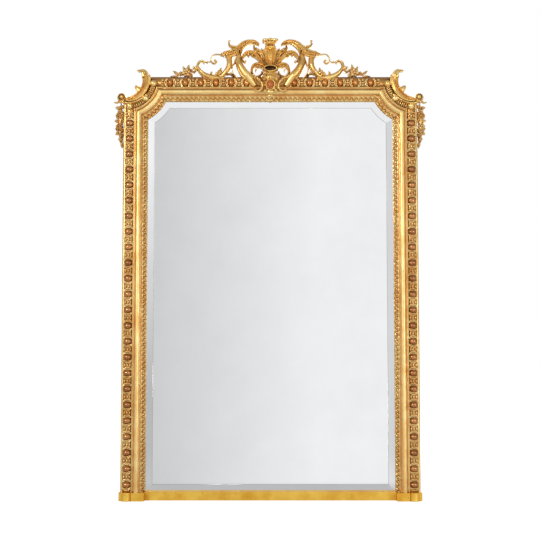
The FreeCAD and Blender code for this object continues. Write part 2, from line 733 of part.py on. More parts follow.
def hanging_ring(x):
    """A closed ring of round wire: a straight bar in the knuckle and a round bow hanging below it."""
    high = hinge_height
    inner = ring_half_width - ring_corner_radius
    slant = ring_corner_radius * (1 - math.sqrt(0.5))
    low = high - ring_corner_radius - ring_straight
    points = {
        "bar_left": (-inner, high), "bar_right": (inner, high),
        "turn_right": (ring_half_width - slant, high - slant),
        "side_right": (ring_half_width, high - ring_corner_radius), "bow_right": (ring_half_width, low),
        "bow": (0, low - ring_half_width),
        "bow_left": (-ring_half_width, low), "side_left": (-ring_half_width, high - ring_corner_radius),
        "turn_left": (-ring_half_width + slant, high - slant),
    }
    at = {name: Vector(x + place[0], -hinge_depth, place[1]) for name, place in points.items()}
    path = Part.Wire([
        Part.LineSegment(at["bar_left"], at["bar_right"]).toShape(),
        Part.Arc(at["bar_right"], at["turn_right"], at["side_right"]).toShape(),
        Part.LineSegment(at["side_right"], at["bow_right"]).toShape(),
        Part.Arc(at["bow_right"], at["bow"], at["bow_left"]).toShape(),
        Part.LineSegment(at["bow_left"], at["side_left"]).toShape(),
        Part.Arc(at["side_left"], at["turn_left"], at["bar_left"]).toShape(),
    ])
    circle = Part.makeCircle(ring_wire_radius, at["bar_left"], Vector(1, 0, 0))
    return path.makePipeShell([Part.Wire(circle)], True, False)


hanger_screws = []
for side in (-1, 1):
    for drop in (26, 58):
        hanger_screws.append(wood_screw(side * hanger_offset, hinge_height - drop, strap_back_depth,
                                        batten_thickness))
hanger_screw_set = Part.makeCompound(hanger_screws)
strap_right = strap_hanger(hanger_offset).cut(hanger_screw_set)
strap_left = strap_hanger(-hanger_offset).cut(hanger_screw_set)
batten = batten.cut(hanger_screw_set).cut(Part.makeCompound(batten_screws))


# ---------------------------------------------------------------- carcass cuts and export

carcass_screws = Part.makeCompound(screws + batten_screws)
carcass_right = carcass["right"].cut(housing).cut(carcass_screws)
carcass_left = carcass["left"].cut(mirrored(housing)).cut(carcass_screws)
carcass_top = carcass["top"].cut(carcass_screws).cut(crest_screws)
bottom_rail = bottom_rail.cut(board_screws)
plinth_rail = plinth_rail.cut(board_screws)

export("carcass_stile_right", carcass_right)
export("carcass_stile_left", carcass_left)
export("carcass_top_rail", carcass_top)
export("carcass_corner_right", carcass["corner_right"])
export("carcass_corner_left", carcass["corner_left"])
export("carcass_bottom_rail", bottom_rail)
export("plinth_rail", plinth_rail)
export("plinth_block_right", plinth)
export("plinth_block_left", mirrored(plinth))
for place, shape in sight_moulding.items():
    export("sight_moulding_" + place, shape)
for place, shape in torus_moulding.items():
    export("torus_moulding_" + place, shape)
for place, shape in outer_moulding.items():
    export("outer_moulding_" + place, shape)
export("egg_and_dart_right", stile_eggs)
export("egg_and_dart_left", [mirrored(piece) for piece in stile_eggs])
export("egg_and_dart_top", top_eggs)
export("egg_and_dart_corner_right", corner_eggs)
export("egg_and_dart_corner_left", [mirrored(piece) for piece in corner_eggs])
export("mirror_plate", mirror_plate)
export("setting_pads", setting_pads)
export("glazing_blocks", glazing_blocks)
for index, board in enumerate(boards):
    export("backboard_" + str(index + 1), board)
export("backboard_screws", screws)
export("hanging_batten", batten)
export("batten_screws", batten_screws)
export("strap_hanger_right", strap_right)
export("strap_hanger_left", strap_left)
export("hanging_ring_right", hanging_ring(hanger_offset))
export("hanging_ring_left", hanging_ring(-hanger_offset))
export("hanger_screws", hanger_screws)
export("crest_cartouche", cartouche)
export("crest_cabochon", cabochon)
export("crest_palmette", palmette)
export("crest_scroll_right", scroll_right)
export("crest_scroll_left", mirrored(scroll_right))
export("crest_wing_right", wing_right)
export("crest_wing_left", mirrored(wing_right))
export("crest_spray_right", spray)
export("crest_spray_left", mirrored(spray))
export("crest_brackets", brackets)
export("crest_bracket_screws", bracket_screws)
export("corner_scroll_right", corner_scroll)
export("corner_scroll_left", mirrored(corner_scroll))
export("garland_right", garland)
export("garland_left", mirrored(garland))
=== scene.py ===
import itertools
import math

import bmesh
import bpy
import numpy as np
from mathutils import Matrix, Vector


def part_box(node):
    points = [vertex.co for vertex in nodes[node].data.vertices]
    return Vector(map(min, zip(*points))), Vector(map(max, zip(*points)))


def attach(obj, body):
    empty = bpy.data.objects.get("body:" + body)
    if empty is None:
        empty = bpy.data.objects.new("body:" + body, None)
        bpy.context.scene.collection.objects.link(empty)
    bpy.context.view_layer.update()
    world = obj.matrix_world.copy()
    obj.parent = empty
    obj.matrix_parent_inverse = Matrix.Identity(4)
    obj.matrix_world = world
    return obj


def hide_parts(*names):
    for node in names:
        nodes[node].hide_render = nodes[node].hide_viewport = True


# Looks of a gilded overmantel mirror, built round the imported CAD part.
# Shapes are worked out in millimetres. +Z is up, +X is the viewer's right, the front faces -Y.
# A depth is the distance in front of the back plane, and a reach the distance outward from the sight edge.

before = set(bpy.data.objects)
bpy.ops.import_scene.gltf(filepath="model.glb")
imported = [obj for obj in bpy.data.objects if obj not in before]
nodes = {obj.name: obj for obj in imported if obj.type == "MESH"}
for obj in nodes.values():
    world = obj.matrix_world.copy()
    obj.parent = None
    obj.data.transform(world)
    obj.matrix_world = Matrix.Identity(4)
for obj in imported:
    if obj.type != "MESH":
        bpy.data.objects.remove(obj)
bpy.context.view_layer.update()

MM = 0.001

# Sizes shared with the CAD part
frame_half_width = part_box("carcass_stile_right")[1].x / MM
frame_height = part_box("carcass_top_rail")[1].z / MM
foot_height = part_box("plinth_rail")[1].z / MM
moulding_width = 91.0
corner_inset = 10.0
corner_radius = 170.0
sight_reach = 22.0
sight_lip_depth = 40.0
plate_edge_depth = 34.0
plate_front_depth = 37.0
bevel_width = 26.0
carcass_depth = 45.0
leaf_depth = 55.0
leaf_width = 14.0
groove_depth = 60.0
fillet_inner_reach = 40.8
fillet_outer_reach = 47.2
fillet_depth = 67.0
band_inner_reach = 50.0
band_outer_reach = 83.0
ground_depth = 58.0
egg_pitch = 59.1
first_egg_height = 59.5
egg_count = 24
top_egg_pitch = 58.2
top_egg_start = 91.0
top_egg_count = 6
crest_back_depth = 36.0

# Sizes of the carving and the fine lines
bevel_line = 1.4
leaf_pitch = 18.0
leaf_swell = 1.6
leaf_groove_cut = 8.0
leaf_groove_width = 1.9
leaf_groove_swing = 3.4
leaf_eye_cut = 5.5
leaf_eye_width = 2.2
cove_hollow = 1.4
carving_step = 1.6
member_step = 1.8
curved_strip_step = 8.0
straight_strip_step = 40.0
shell_half_width = 20.5
shell_half_angle = 50
pearl_angles = (8, 45, 80)
flute_angles = (26.5, 63.0)
corner_band_shift = 2.0
crest_stretch = 0.945
garland_back_depth = 30.0

sight_half_width = frame_half_width - moulding_width
sight_top = frame_height - moulding_width
corner_x = frame_half_width - corner_inset
corner_z = frame_height - corner_inset
corner_gap = moulding_width - corner_inset
egg_reach = (band_inner_reach + band_outer_reach) / 2


# ---------------------------------------------------------------- mesh building

class Carving:
    """Points and faces gathered for one piece, in millimetres, before they become a mesh."""

    def __init__(self):
        self.points = []
        self.faces = []
        self.count = 0

    def grid(self, rows, close_rows=False, close_columns=False):
        """Join a table of points, indexed [row][column][x, depth, z], into quads."""
        table = np.asarray(rows, float)
        row_count, column_count = table.shape[:2]
        self.points.append(table.reshape(-1, 3))
        last_row = row_count if close_rows else row_count - 1
        last_column = column_count if close_columns else column_count - 1
        for row in range(last_row):
            next_row = (row + 1) % row_count
            for column in range(last_column):
                next_column = (column + 1) % column_count
                self.faces.append((self.count + row * column_count + column,
                                   self.count + row * column_count + next_column,
                                   self.count + next_row * column_count + next_column,
                                   self.count + next_row * column_count + column))
        self.count += row_count * column_count

    def add(self, other, turn=0.0, x=0.0, z=0.0):
        """Take in another carving, turned about the depth axis and moved."""
        points = np.concatenate(other.points)
        cosine, sine = math.cos(turn), math.sin(turn)
        moved = points.copy()
        moved[:, 0] = points[:, 0] * cosine - points[:, 2] * sine + x
        moved[:, 2] = points[:, 0] * sine + points[:, 2] * cosine + z
        self.points.append(moved)
        self.faces.extend(tuple(index + self.count for index in face) for face in other.faces)
        self.count += len(points)

    def mirrored(self):
        """The same carving on the other side of X = 0."""
        other = Carving()
        points = np.concatenate(self.points)
        points[:, 0] *= -1
        other.points = [points]
        other.faces = [face[::-1] for face in self.faces]
        other.count = self.count
        return other

    def piece(self, name, slot, material, replaced, body="frame"):
        """Make the Blender object, on its body, in place of the CAD nodes."""
        points = np.concatenate(self.points) * MM
        points[:, 1] *= -1
        mesh = bpy.data.meshes.new(name)
        mesh.from_pydata(points.tolist(), [], self.faces)
        mesh.validate()
        # Each closed shell's faces are turned outward
        shells = bmesh.new()
        shells.from_mesh(mesh)
        bmesh.ops.recalc_face_normals(shells, faces=shells.faces)
        shells.to_mesh(mesh)
        shells.free()
        mesh.shade_smooth()
        mesh.materials.append(material)
        obj = bpy.data.objects.new(name, mesh)
        bpy.context.scene.collection.objects.link(obj)
        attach(obj, body)
        if replaced:
            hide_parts(*replaced)
        return obj


def smooth_line(points, samples):
    """Points along a Catmull-Rom curve, evenly spread over its length."""
    knots = np.asarray(points, float)
    padded = np.vstack([2 * knots[0] - knots[1], knots, 2 * knots[-1] - knots[-2]])
    fine = []
    for index in range(len(knots) - 1):
        p0, p1, p2, p3 = padded[index:index + 4]
        for share in np.linspace(0, 1, 24, endpoint=False):
            fine.append(0.5 * (2 * p1 + (p2 - p0) * share + (2 * p0 - 5 * p1 + 4 * p2 - p3) * share ** 2
                               + (3 * p1 - p0 - 3 * p2 + p3) * share ** 3))
    fine.append(knots[-1])
    fine = np.array(fine)
    steps = np.hypot(np.diff(fine[:, 0]), np.diff(fine[:, 1]))
    along = np.concatenate([[0], np.cumsum(steps)])
    wanted = np.linspace(0, along[-1], samples)
    return np.stack([np.interp(wanted, along, fine[:, axis]) for axis in range(knots.shape[1])], axis=1)


def bump(value, middle, width):
    """A soft bump, 1 high."""
    return math.exp(-((value - middle) / width) ** 2)


# Flat backs in one plane would flicker where they overlap, so each part's back lies a little apart.
back_step = 0.3
back_steps = itertools.cycle(back_step * index for index in range(13))
shortest_stepped_skirt = 6


def ball(radius_x, radius_z, height, depth, x=0.0, z=0.0, rings=7, segments=18, skirt=0.0):
    """The front half of a rounded knob, with a straight skirt behind it."""
    knob = Carving()
    turns = np.linspace(0, 2 * math.pi, segments, endpoint=False)
    base = depth - skirt + (next(back_steps) if skirt >= shortest_stepped_skirt else 0)
    rows = [[(x, base, z)] * segments]
    rows.append([(x + radius_x * math.cos(t), base, z + radius_z * math.sin(t)) for t in turns])
    for tilt in np.linspace(0, math.pi / 2, rings):
        reach = max(math.cos(tilt), 0.02)
        rows.append([(x + radius_x * reach * math.cos(t), depth + height * math.sin(tilt),
                      z + radius_z * reach * math.sin(t)) for t in turns])
    knob.grid(rows, close_columns=True)
    return knob


def ring(radius_x, radius_z, wire, depth, arc=None, segments=36, sides=8):
    """A rounded rim round an oval, or along an arc of it between two angles in degrees."""
    rim = Carving()
    rows = []
    start, end = (math.radians(angle) for angle in (arc or (0, 360)))
    wire_height = 1.25 * wire
    for turn in np.linspace(start, end, segments, endpoint=bool(arc)):
        row = []
        for side in np.linspace(0, 2 * math.pi, sides, endpoint=False):
            out = wire * math.cos(side)
            row.append(((radius_x + out) * math.cos(turn), depth + wire_height * math.sin(side),
                        (radius_z + out) * math.sin(turn)))
        rows.append(row)
    if arc:
        rows.insert(0, [tuple(np.mean(rows[0], axis=0))] * sides)
        rows.append([tuple(np.mean(rows[-1], axis=0))] * sides)
    rim.grid(rows, close_rows=not arc, close_columns=True)
    return rim


# ---------------------------------------------------------------- runs round the frame

def mitre_height(reach):
    """The height at which the stile's line at this reach meets the scoop's arc."""
    radius = corner_radius - reach
    return corner_z - math.sqrt(radius ** 2 - (corner_gap - reach) ** 2)


def on_stile(share, reach):
    """A place on the right stile, and its distance along the run."""
    z = foot_height + share * (mitre_height(reach) - foot_height)
    return sight_half_width + reach, z, z


def on_corner(share, reach):
    """A place on the right scooped corner, and its distance along the run."""
    radius = corner_radius - reach
    start = math.asin((corner_gap - reach) / radius)
    angle = start + share * (math.pi / 2 - 2 * start)
    return corner_x - radius * math.sin(angle), corner_z - radius * math.cos(angle), angle * corner_radius


def on_top(share, reach):
    """A place on the top rail, and its distance along the run."""
    half = corner_x - (corner_z - mitre_height(reach))
    x = (1 - 2 * share) * half
    return x, sight_top + reach, x


def leaf_cut(along, reach):
    """How far the leaf carving goes below the sight moulding's section: a winding groove and its eyes."""
    if reach > leaf_width:
        return 0.0
    turn = 2 * math.pi * along / leaf_pitch
    middle = leaf_width / 2 + leaf_groove_swing * math.sin(turn)
    groove = leaf_groove_cut * bump(reach, middle, leaf_groove_width)
    upper_eye = max(math.cos(turn), 0) ** 4 * bump(reach, leaf_width * 0.86, leaf_eye_width)
    lower_eye = max(-math.cos(turn), 0) ** 4 * bump(reach, leaf_width * 0.16, leaf_eye_width)
    return groove + leaf_eye_cut * (upper_eye + lower_eye)


def sight_section():
    """The sight moulding's visible section, as (reach, depth), from the plate outward."""
    leaf = [(0.0, plate_edge_depth), (0.0, sight_lip_depth)]
    for share in np.linspace(0, 1, 15)[1:]:
        swell = leaf_swell * math.sin(math.pi * share)
        leaf.append((leaf_width * share, sight_lip_depth + (leaf_depth - sight_lip_depth) * share + swell))
    cove = []
    for share in np.linspace(0, 1, 6)[1:]:
        reach = leaf_width + (sight_reach - leaf_width) * share
        hollow = cove_hollow * math.sin(math.pi * share)
        cove.append((reach, leaf_depth + (groove_depth - leaf_depth) * share - hollow))
    return leaf + cove + [(sight_reach, carcass_depth)]


def frame_run(place, step, section, cut=lambda along, reach: 0.0):
    """A section of (reach, depth) carried along one run, with its carving cut into it."""
    run = Carving()
    length = {"stile": mitre_height(0) - foot_height, "corner": corner_radius, "top": 2 * corner_x}
    count = int(length[place] / step)
    locate = {"stile": on_stile, "corner": on_corner, "top": on_top}[place]
    rows = []
    for index in range(count + 1):
        row = []
        for reach, depth in section:
            x, z, along = locate(index / count, reach)
            row.append((x, depth - cut(along, reach), z))
        rows.append(row)
    first_end = [tuple(np.mean(rows[0], axis=0))] * len(section)
    last_end = [tuple(np.mean(rows[-1], axis=0))] * len(section)
    run.grid([first_end] + rows + [last_end], close_columns=True)
    return run


# ---------------------------------------------------------------- egg and dart

def egg_shells():
    """Two open rims on each side of an egg, which lies along X."""
    unit = Carving()
    for radius, wire, depth in ((14.8, 1.9, 63.5), (20.2, 2.1, 61.5)):
        for middle in (90, 270):
            arc = (middle - shell_half_angle, middle + shell_half_angle)
            unit.add(ring(shell_half_width, radius, wire, depth, arc, 16))
    return unit


def reeds(count, spacing, half_length, width, front):
    """Short reeds side by side, each running along Z."""
    group = Carving()
    for index in range(count):
        x = (index - (count - 1) / 2) * spacing
        stretch = 1 - 0.12 * abs(index - (count - 1) / 2)
        group.add(ball(width / 2, half_length * stretch, front - ground_depth, ground_depth, x=x,
                       rings=5, segments=14, skirt=1.0))
    return group


def scatter(unit, spots):
    """Copies of a carving at (x, z, turn)."""
    group = Carving()
    for x, z, turn in spots:
        group.add(unit, turn, x, z)
    return group


# ---------------------------------------------------------------- carved members

# Heights, as shares of a member's height at its middle
edge_heights = {"band": 0.45, "flute": 0.46, "stem": 0.35}
band_groove = 0.22
flute_groove = 0.2
lobe_drop = 0.3
# Widths, as shares of its half width
lobe_start = 0.3
lobe_cut = 0.42
# Lengths, as shares of its line
start_rise = 0.3
end_rise = 0.4
# Two lobes part where their wave, from 0 to 1, falls under this
lobe_gap = 0.42


def carved_face(style, u, ribs):
    """The height of a carved face across its width, where u goes from -1 to 1."""
    side = abs(u)
    fullness = 0.9 if style == "flute" else 1.0
    dome = math.sqrt(max(1 - fullness * side ** 2, 0))
    groove = 0.0
    if style == "band":
        groove = band_groove * bump(side, 0.74, 0.08)
    elif style == "flute":
        groove = flute_groove * abs(math.sin(ribs * math.pi * (u + 1) / 2))
    edge = edge_heights[style]
    return edge + (1 - edge) * dome - groove


def member(line, back, front, style="stem", ribs=3, lobes=0, tip=(0.75, 0.55), columns=25):
    """A carved member along a line of (x, z, width). Lobes are cut into both edges.

    The tip gives how high the member stands at its start and at its end.
    """
    knots = np.array(line, float)
    length = np.hypot(np.diff(knots[:, 0]), np.diff(knots[:, 1])).sum()
    samples = max(24, int(length / member_step), lobes * 12)
    curve = smooth_line(knots, samples)
    run = np.gradient(curve[:, :2], axis=0)
    run /= np.maximum(np.hypot(run[:, 0], run[:, 1]), 1e-6)[:, None]
    base = back + next(back_steps)
    rows = []
    for (x, z, width), (run_x, run_z), share in zip(curve, run, np.linspace(0, 1, samples)):
        if share < 0.5:
            rise = tip[0] + (1 - tip[0]) * min(share / start_rise, 1)
        else:
            rise = tip[1] + (1 - tip[1]) * min((1 - share) / end_rise, 1)
        face = []
        for u in np.linspace(-1, 1, columns):
            side = abs(u)
            height = carved_face(style, u, ribs)
            reach = width / 2 * u
            if lobes:
                outward = max((side - lobe_start) / (1 - lobe_start), 0)
                wave = abs(math.sin(math.pi * (share * lobes - 0.5 * side)))
                notch = max(1 - wave / lobe_gap, 0) * outward
                reach *= 1 - lobe_cut * notch
                height -= lobe_drop * notch
            face.append((x - run_z * reach, back + (front - back) * height * rise, z + run_x * reach))
        first, final = face[0], face[-1]
        rows.append([(first[0], base, first[2])] + face + [(final[0], base, final[2])])
    body = Carving()
    lead = [tuple(np.mean(rows[0], axis=0))] * len(rows[0])
    tail = [tuple(np.mean(rows[-1], axis=0))] * len(rows[-1])
    body.grid([lead] + rows + [tail], close_columns=True)
    return body


def spiral(x, z, outer, inner, start, turns, width):
    """A line that winds inward, for a volute. Angles are in degrees."""
    line = []
    steps = int(abs(turns) * 12)
    for index in range(steps + 1):
        share = index / steps
        radius = outer + (inner - outer) * share
        angle = math.radians(start + 360 * turns * share)
        narrowing = 1 - 0.45 * share
        line.append((x + radius * math.cos(angle), z + radius * math.sin(angle), width * narrowing))
    return line


def leaflet(x, z, angle, length, width, back, front):
    """A small pointed leaf with a vein, growing from a place at an angle in degrees."""
    turn = math.radians(angle)
    line = [(x + share * length * math.cos(turn), z + share * length * math.sin(turn), width * part)
            for share, part in ((0, 0.5), (0.3, 0.95), (0.55, 1.0), (0.8, 0.6), (1, 0.08))]
    return member(line, back, front, "flute", ribs=2, columns=13)


def posy(x, z, radius, back, front, turn=0.0):
    """A flower of round petals about a bud, with gaps between them."""
    flower = Carving()
    petals = 6
    height = front - back
    crown = 0.3 * height
    spread = 0.64 * radius
    heart = 0.34 * radius
    for index in range(petals):
        angle = math.radians(turn + 360 * index / petals)
        size = radius * (0.42 if index % 2 else 0.36)
        level = height * (0.62 if index % 2 else 0.5)
        flower.add(ball(size, size, crown, back + level, x + spread * math.cos(angle),
                        z + spread * math.sin(angle), rings=5, segments=14, skirt=level))
    flower.add(ball(heart, heart, crown, back + 0.7 * height, x, z, rings=5, segments=14,
                    skirt=0.6 * height))
    return flower


def lifted(z):
    """A height above the frame's top edge, as it stands over the foot."""
    return frame_height + z * (crest_stretch if z > 0 else 1)


def above_frame(line):
    """A line given as (x, height above the frame, width)."""
    return [(x, lifted(z), width) for x, z, width in line]


def round_corner(angle, radius):
    """A place round the scoop's centre, with the angle from straight down."""
    turn = math.radians(angle)
    return corner_x - radius * math.sin(turn), corner_z - radius * math.cos(turn)


def from_corner(line):
    """A line given from the scoop's centre."""
    return [(corner_x + x, corner_z + z, width) for x, z, width in line]


def beside_frame(line):
    """A line given from the frame's outer top corner."""
    return [(frame_half_width + x, frame_height + z, width) for x, z, width in line]


# ---------------------------------------------------------------- materials

def linear(red, green, blue):
    """A colour written as it looks on screen, from 0 to 255, for a shader."""
    values = []
    for value in (red, green, blue):
        share = value / 255
        values.append(share / 12.92 if share <= 0.04045 else ((share + 0.055) / 1.055) ** 2.4)
    return (*values, 1.0)


class Nodes:
    """A short way to write a material's node tree."""

    def __init__(self, name):
        self.material = bpy.data.materials.new(name)
        self.material.use_nodes = True
        self.tree = self.material.node_tree
        self.tree.nodes.clear()
        self.output = self.tree.nodes.new("ShaderNodeOutputMaterial")
        self.place = self.tree.nodes.new("ShaderNodeTexCoord").outputs["Object"]

    def new(self, kind, **inputs):
        """A node with its inputs set: a value is set on the socket, an output is linked to it."""
        node = self.tree.nodes.new("ShaderNode" + kind)
        for key, value in inputs.items():
            socket = node.inputs[key.replace("_", " ")]
            if isinstance(value, bpy.types.NodeSocket):
                self.tree.links.new(value, socket)
            else:
                socket.default_value = value
        return node

    def noise(self, scale, detail=3.0, roughness=0.55, stretch=None):
        """Cloudy noise from 0 to 1."""
        place = self.place
        if stretch:
            place = self.new("Mapping", Vector=place, Scale=stretch).outputs["Vector"]
        node = self.new("TexNoise", Vector=place, Scale=scale, Detail=detail, Roughness=roughness)
        return node.outputs["Fac"]

    def spread(self, value, low, high, out_low=0.0, out_high=1.0):
        """Map a range of values to another, held at both ends."""
        node = self.new("MapRange", Value=value, From_Min=low, From_Max=high,
                        To_Min=out_low, To_Max=out_high)
        return node.outputs["Result"]

    def math(self, operation, first, second):
        """One sum on two values."""
        node = self.tree.nodes.new("ShaderNodeMath")
        node.operation = operation
        for socket, value in zip(node.inputs, (first, second)):
            if isinstance(value, bpy.types.NodeSocket):
                self.tree.links.new(value, socket)
            else:
                socket.default_value = value
        return node.outputs["Value"]

    def mix(self, share, first, second):
        """A colour between two colours."""
        node = self.tree.nodes.new("ShaderNodeMix")
        node.data_type = "RGBA"
        colours = [socket for socket in node.inputs if socket.type == "RGBA"]
        factor = [socket for socket in node.inputs if socket.type == "VALUE"][0]
        for socket, value in ((factor, share), (colours[0], first), (colours[1], second)):
            if isinstance(value, bpy.types.NodeSocket):
                self.tree.links.new(value, socket)
            else:
                socket.default_value = value
        return [socket for socket in node.outputs if socket.type == "RGBA"][0]

    def openness(self, distance):
        """How open a spot is to its surroundings, from 0 to 1."""
        node = self.new("AmbientOcclusion", Distance=distance)
        node.samples = 16
        return node.outputs["AO"]

    def geometry(self, name):
        """The place or the facing of a spot, in the room's axes."""
        return self.tree.nodes.new("ShaderNodeNewGeometry").outputs[name]

    def axes(self, vector):
        """The three parts of a vector."""
        return self.new("SeparateXYZ", Vector=vector).outputs

    def relief(self, strength, distance, height):
        """The facing that a fine relief gives the surface."""
        return self.new("Bump", Strength=strength, Distance=distance, Height=height).outputs["Normal"]

    def finish(self, shader):
        """Link the shader to the output and hand over the material."""
        self.tree.links.new(shader.outputs[0], self.output.inputs["Surface"])
        return self.material

    def surface(self, **inputs):
        """Finish the material with the usual surface shader."""
        return self.finish(self.new("BsdfPrincipled", **inputs))


bole_red = linear(196, 104, 46)
# Warm orange that the recesses take: painted shade
recess_orange_shade = linear(186, 116, 50)
# Dark brown that the recesses take: painted shade, and dirt
recess_dirt_and_shade_brown = linear(78, 42, 16)
# Brown that upward faces take: dust, and painted shade
top_dust_and_shade_brown = linear(140, 96, 66)
# Brown of a painted shadow along the frame's top edge
top_edge_shadow_brown = linear(146, 100, 68)


def gilding(name, light, dark, wear, roughness=0.34, top_dust_and_shade=0.0, recess_shade_and_dirt=1.0, shadowed_above=0.0):
    """Water gilding: leaf over red bole, rubbed here and there, dark brown in its recesses with dirt and
    painted shade, and orange in shallower hollows with painted shade; upward faces can take dust and
    painted shade, and the top edge a painted shadow band.
    """
    leaf_nodes = Nodes(name)
    patches = leaf_nodes.noise(16.0, 3.0)
    mottle = leaf_nodes.noise(120.0, 4.0)
    grain = leaf_nodes.noise(700.0, 3.0)
    colour = leaf_nodes.mix(leaf_nodes.spread(patches, 0.35, 0.65), linear(*dark), linear(*light))
    worn = leaf_nodes.spread(mottle, 0.66 - wear, 0.76 - wear, 0.0, 0.8)
    colour = leaf_nodes.mix(worn, colour, bole_red)
    openness = leaf_nodes.openness(0.009)
    # Painted shade in recesses: the less open a spot, the more orange its colour
    recess_orange_shade_share = leaf_nodes.spread(openness, 0.24 * recess_shade_and_dirt, 0.6 * recess_shade_and_dirt, 0.6, 0.0)
    colour = leaf_nodes.mix(recess_orange_shade_share, colour, recess_orange_shade)
    # Painted shade in the tightest recesses, also standing for dirt: the colour turns dark brown
    recess_dirt_and_shade_share = leaf_nodes.spread(openness, 0.06 * recess_shade_and_dirt, 0.34 * recess_shade_and_dirt, 1.0, 0.0)
    colour = leaf_nodes.mix(recess_dirt_and_shade_share, colour, recess_dirt_and_shade_brown)
    # Upward faces turn brown: dust, and painted shade
    upward = leaf_nodes.axes(leaf_nodes.geometry("Normal"))["Z"]
    colour = leaf_nodes.mix(leaf_nodes.spread(upward, 0.2, 0.75, 0.0, top_dust_and_shade), colour, top_dust_and_shade_brown)
    # Painted shadow: a brown band along the top edge, above the given height
    if shadowed_above:
        height = leaf_nodes.axes(leaf_nodes.geometry("Position"))["Z"]
        top_edge_shadow = leaf_nodes.spread(height, shadowed_above - 0.003, shadowed_above + 0.001, 0.0, 0.85)
        colour = leaf_nodes.mix(top_edge_shadow, colour, top_edge_shadow_brown)
    relief = leaf_nodes.relief(0.1, 0.0005, leaf_nodes.math("ADD", grain, mottle))
    polish = leaf_nodes.spread(mottle, 0.3, 0.7, roughness - 0.07, roughness + 0.1)
    return leaf_nodes.surface(Base_Color=colour, Normal=relief, Metallic=0.75, Roughness=polish)


def wood(name, light, dark, along_x=False):
    """Bare aged pine, with its grain along the board."""
    wood_nodes = Nodes(name)
    stretch = (3.0, 40.0, 40.0) if along_x else (40.0, 40.0, 3.0)
    grain = wood_nodes.noise(2.2, 5.0, 0.6, stretch)
    fine = wood_nodes.noise(9.0, 4.0, 0.7, stretch)
    stain = wood_nodes.noise(5.0, 3.0)
    colour = wood_nodes.mix(wood_nodes.spread(grain, 0.3, 0.7), linear(*dark), linear(*light))
    colour = wood_nodes.mix(wood_nodes.spread(stain, 0.45, 0.8, 0.0, 0.5), colour, linear(96, 68, 44))
    colour = wood_nodes.mix(wood_nodes.spread(fine, 0.55, 0.8, 0.0, 0.5), colour, linear(78, 52, 30))
    relief = wood_nodes.relief(0.4, 0.0008, fine)
    return wood_nodes.surface(Base_Color=colour, Normal=relief, Roughness=0.72)


def iron(name, light, dark, rust):
    """Dark iron with patches of rust."""
    iron_nodes = Nodes(name)
    mottle = iron_nodes.noise(160.0, 4.0)
    colour = iron_nodes.mix(iron_nodes.spread(mottle, 0.35, 0.65), linear(*dark), linear(*light))
    colour = iron_nodes.mix(iron_nodes.spread(iron_nodes.noise(60.0), 0.55, 0.7), colour, linear(*rust))
    relief = iron_nodes.relief(0.3, 0.0005, mottle)
    polish = iron_nodes.spread(mottle, 0.3, 0.7, 0.4, 0.6)
    return iron_nodes.surface(Base_Color=colour, Normal=relief, Metallic=0.7, Roughness=polish)


def silvering(name, light=(243, 244, 245), dark=(238, 239, 240)):
    """Old silvered plate glass: bright, with the faintest clouding."""
    glass_nodes = Nodes(name)
    cloud = glass_nodes.spread(glass_nodes.noise(7.0, 3.0), 0.3, 0.75)
    colour = glass_nodes.mix(cloud, linear(*light), linear(*dark))
    return glass_nodes.surface(Base_Color=colour, Metallic=1.0, Roughness=0.03)


def burnished_bole(name):
    """The cabochon's red-brown polished surface."""
    bole_nodes = Nodes(name)
    mottle = bole_nodes.spread(bole_nodes.noise(190.0, 4.0), 0.35, 0.7)
    colour = bole_nodes.mix(mottle, linear(178, 90, 34), linear(222, 134, 54))
    return bole_nodes.surface(Base_Color=colour, Metallic=0.1, Roughness=0.16)


def felt(name):
    """Dark felt of the setting pads."""
    felt_nodes = Nodes(name)
    colour = felt_nodes.mix(felt_nodes.noise(900.0, 2.0), linear(60, 54, 50), linear(104, 96, 88))
    return felt_nodes.surface(Base_Color=colour, Roughness=0.95)


# The top run's outer moulding takes a slightly deeper copy of the moulding gilding, with a painted shadow
# band along its top edge
top_edge_shadow_height = (frame_height - 11) * MM
moulding_gold = gilding("moulding_gold", (255, 224, 152), (240, 190, 110), 0.0, top_dust_and_shade=0.8)
top_gold = gilding("top_gold", (255, 220, 140), (238, 184, 98), 0.0, top_dust_and_shade=0.8,
                   shadowed_above=top_edge_shadow_height)
egg_gold = gilding("egg_gold", (255, 224, 156), (238, 188, 110), 0.03)
bole_gold = gilding("bole_gold", (214, 152, 92), (162, 104, 62), 0.05, 0.24)
# The top run's eggs take a lighter, more orange copy of the egg colour: painted light
amber_gold = gilding("amber_gold", (226, 158, 84), (184, 112, 54), 0.05, 0.24)
pearl_gold = gilding("pearl_gold", (255, 228, 158), (246, 200, 118), 0.0, 0.24, recess_shade_and_dirt=0.8)
carved_gold = gilding("carved_gold", (255, 222, 144), (228, 180, 100), 0.0, 0.3, recess_shade_and_dirt=0.86)
leafy_gold = gilding("leafy_gold", (255, 228, 164), (232, 188, 120), 0.02, 0.36, recess_shade_and_dirt=0.6)
ground_gold = gilding("ground_gold", (226, 178, 104), (188, 132, 72), 0.05)
ruddy_gold = gilding("ruddy_gold", (240, 188, 112), (222, 158, 86), 0.04)
bole_line_gold = gilding("bole_line_gold", (238, 176, 100), (218, 144, 76), 0.06)
